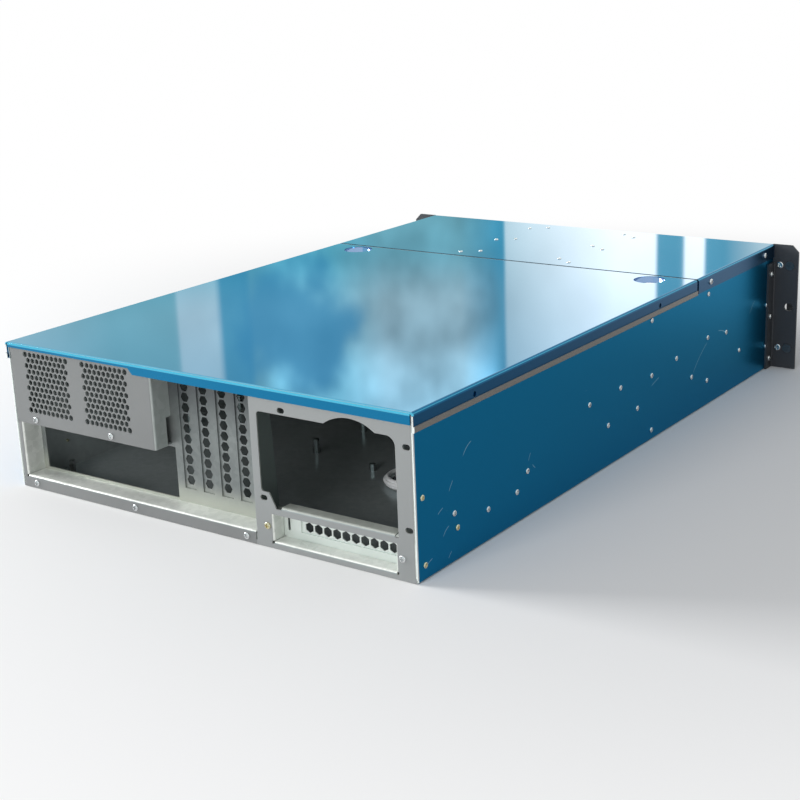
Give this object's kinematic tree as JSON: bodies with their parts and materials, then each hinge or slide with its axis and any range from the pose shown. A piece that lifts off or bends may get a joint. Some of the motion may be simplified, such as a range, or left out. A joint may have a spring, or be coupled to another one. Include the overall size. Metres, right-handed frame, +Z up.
{
  "type": "rackmount server case",
  "caption": "Empty rack case with perforated rear panels, a power supply cut-out, a sliding top cover, rack ears with handles and drive bays.",
  "frame": {"origin": "bottom centre of the whole case, handles included", "axes": "+Z up, +Y out of the rear panels, +X to the left seen from behind"},
  "size_m": [0.4826, 0.7014, 0.1333],
  "materials": {
    "blue_sheet": "glossy blue",
    "grey_sheet": "satin grey",
    "galvanised": "zinc coated",
    "black_sheet": "satin black",
    "black_plastic": "fine texture",
    "button_plastic": "gloss",
    "lens": "clear",
    "circuit_board": "green board",
    "handle_metal": "satin",
    "screw_zinc": "zinc plated",
    "screw_yellow": "yellow zinc plated",
    "post_nickel": "nickel plated",
    "lead_plastic": "pale grey sleeve",
    "plug_plastic": "moulded"
  },
  "bodies": {
    "case": {"chassis_tub": "blue_sheet", "front_top_panel": "blue_sheet", "rear_frame": "grey_sheet", "fan_plate": "grey_sheet", "psu_plate": "grey_sheet", "io_wall": "galvanised", "slot_cover_1": "galvanised", "slot_cover_2": "galvanised", "slot_cover_3": "galvanised", "slot_cover_4": "galvanised", "low_slot_wall": "galvanised", "low_slot_cover": "galvanised", "psu_rest": "galvanised", "left_bay_wall": "galvanised", "centre_bay_left_wall": "galvanised", "right_bay_wall": "galvanised", "centre_bay_right_wall": "galvanised", "fan_wall": "galvanised", "front_panel": "black_sheet", "rack_ear_left": "black_sheet", "rack_ear_right": "black_sheet", "bay_blank_left_1": "black_plastic", "bay_blank_left_2": "black_plastic", "bay_blank_left_3": "black_plastic", "bay_blank_right_1": "black_plastic", "bay_blank_right_2": "black_plastic", "bay_blank_right_3": "black_plastic", "small_bay_blank": "black_plastic", "control_panel": "black_plastic", "lamp_lenses": "lens", "control_board": "circuit_board", "handle_left": "handle_metal", "handle_right": "handle_metal", "rear_panel_screws": "screw_zinc", "slot_cover_screws": "screw_zinc", "ear_screws": "screw_zinc", "top_panel_screws": "screw_zinc", "handle_screws": "screw_zinc", "rack_screws": "screw_zinc", "top_rivets": "screw_zinc", "psu_plate_screws": "screw_yellow", "standoffs": "post_nickel", "front_panel_lead": "lead_plastic", "lead_coil": "lead_plastic", "lead_plug": "plug_plastic"},
    "cover": {"top_cover": "blue_sheet"},
    "power_button": {"power_button": "button_plastic"},
    "reset_button": {"reset_button": "button_plastic"}
  },
  "joints": [
    {"name": "cover_slide", "type": "slide", "parent": "case", "child": "cover", "axis": [0, 1, 0], "range_m": [0, 0.02]},
    {"name": "power_button_press", "type": "slide", "parent": "case", "child": "power_button", "axis": [0, 1, 0], "range_m": [0, 0.0015], "stiffness_N_per_m": 900, "springref_m": -0.0005},
    {"name": "reset_button_press", "type": "slide", "parent": "case", "child": "reset_button", "axis": [0, 1, 0], "range_m": [0, 0.0015], "stiffness_N_per_m": 900, "springref_m": -0.0005}
  ]
}
